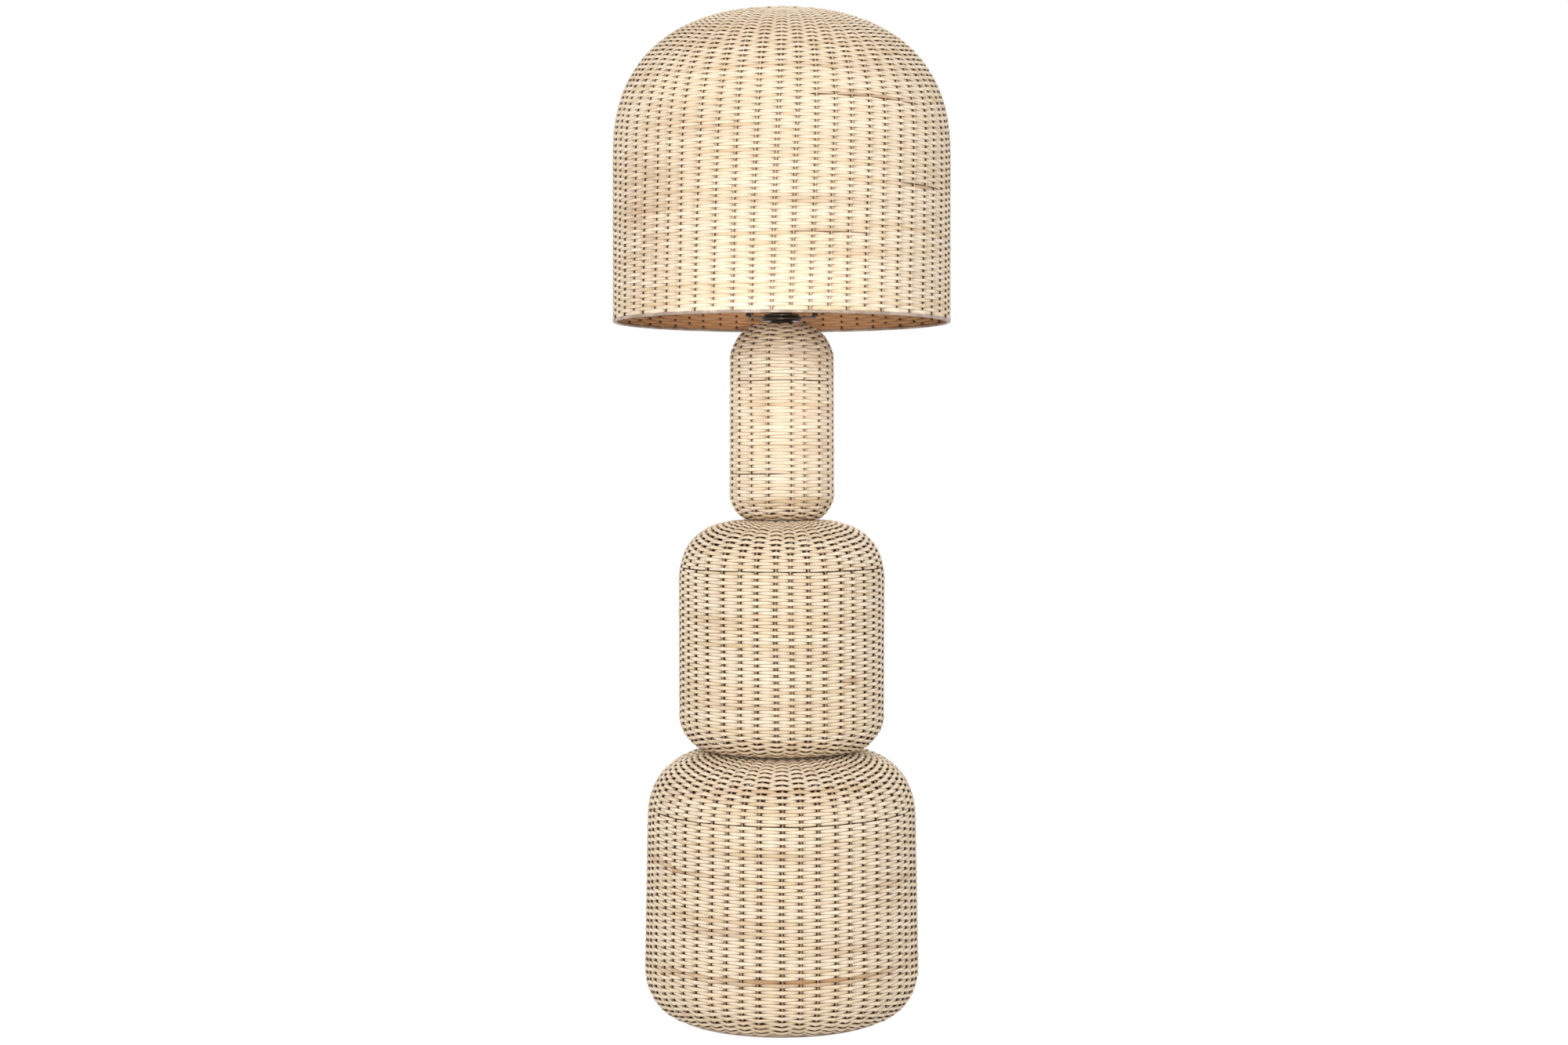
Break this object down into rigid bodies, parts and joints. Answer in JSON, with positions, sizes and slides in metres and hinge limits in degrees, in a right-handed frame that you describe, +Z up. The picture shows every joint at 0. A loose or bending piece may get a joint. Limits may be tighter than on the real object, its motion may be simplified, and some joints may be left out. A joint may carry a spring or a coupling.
{
  "type": "rattan floor lamp",
  "caption": "Floor lamp with a stack of woven rattan drums on a weighted base, and a woven dome shade held on a harp over a bulb with a rotary switch.",
  "frame": {"origin": "on the floor, under the middle of the base", "axes": "+Z up along the tie pipe, -Y towards the viewer of the picture, +X to the right; the switch knob and the cord grommet point to +Y"},
  "size_m": [0.506, 0.506, 1.4981],
  "materials": {
    "reed": "matte cream peeled rattan reed, woven over and under round stakes",
    "frame_wire": "satin taupe paint on welded round wire",
    "cast_iron": "black painted casting, slightly rough",
    "rubber": "matte black rubber",
    "steel": "zinc plated steel",
    "dark_bronze": "glossy near-black bronze lacquer",
    "brass": "satin brass",
    "moulding": "black moulded phenolic",
    "card": "brown insulating fibre card",
    "bulb_glass": "white frosted glass"
  },
  "bodies": {
    "stand": {"base_plate": "cast_iron", "foot_pad_1": "rubber", "foot_pad_2": "rubber", "foot_pad_3": "rubber", "foot_pad_4": "rubber", "base_nut": "steel", "lower_frame": "frame_wire", "middle_frame": "frame_wire", "upper_frame": "frame_wire", "lower_weave": "reed", "middle_weave": "reed", "upper_weave": "reed", "cord_grommet": "rubber", "lower_tube": "steel", "middle_tube": "steel", "upper_tube": "steel", "lower_spacer": "steel", "middle_spacer": "steel", "tie_pipe_lower": "steel", "tie_pipe_upper": "steel", "pipe_coupling": "brass", "neck_hub": "dark_bronze", "neck_flange": "dark_bronze", "harp_saddle": "dark_bronze", "harp_bow": "dark_bronze", "holder_disc": "dark_bronze", "holder_cap": "brass", "holder_nut": "steel", "holder_core": "moulding", "holder_liner": "card", "holder_shell": "brass", "holder_screw_shell": "brass", "holder_contact": "brass"},
    "sleeve_left": {"harp_sleeve_left": "brass"},
    "sleeve_right": {"harp_sleeve_right": "brass"},
    "switch": {"switch_spindle": "brass", "switch_knob": "moulding"},
    "bulb": {"bulb_contact": "moulding", "bulb_cap": "steel", "bulb_glass": "bulb_glass"},
    "harp_swivel": {"harp_stud": "brass"},
    "shade": {"shade_weave": "reed", "shade_frame": "frame_wire", "shade_fitter": "frame_wire"},
    "finial": {"finial": "brass"}
  },
  "joints": [
    {"name": "shade_swivel", "type": "hinge", "parent": "stand", "child": "harp_swivel", "pos_m": [0, 0, 1.2986], "axis": [0, 0, 1], "continuous": true},
    {"name": "shade_lift", "type": "slide", "parent": "harp_swivel", "child": "shade", "axis": [0, 0, 1], "range_m": [0, 0.29]},
    {"name": "finial_turn", "type": "hinge", "parent": "shade", "child": "finial", "pos_m": [0, 0, 1.31], "axis": [0, 0, 1], "continuous": true},
    {"name": "bulb_turn", "type": "hinge", "parent": "stand", "child": "bulb", "pos_m": [0, 0, 1.09], "axis": [0, 0, 1], "continuous": true},
    {"name": "switch_turn", "type": "hinge", "parent": "stand", "child": "switch", "pos_m": [0, 0.02, 1.0618], "axis": [0, 1, 0], "continuous": true},
    {"name": "sleeve_left_slide", "type": "slide", "parent": "stand", "child": "sleeve_left", "axis": [0, 0, 1], "range_m": [0, 0.012]},
    {"name": "sleeve_right_slide", "type": "slide", "parent": "stand", "child": "sleeve_right", "axis": [0, 0, 1], "range_m": [0, 0.012]}
  ]
}
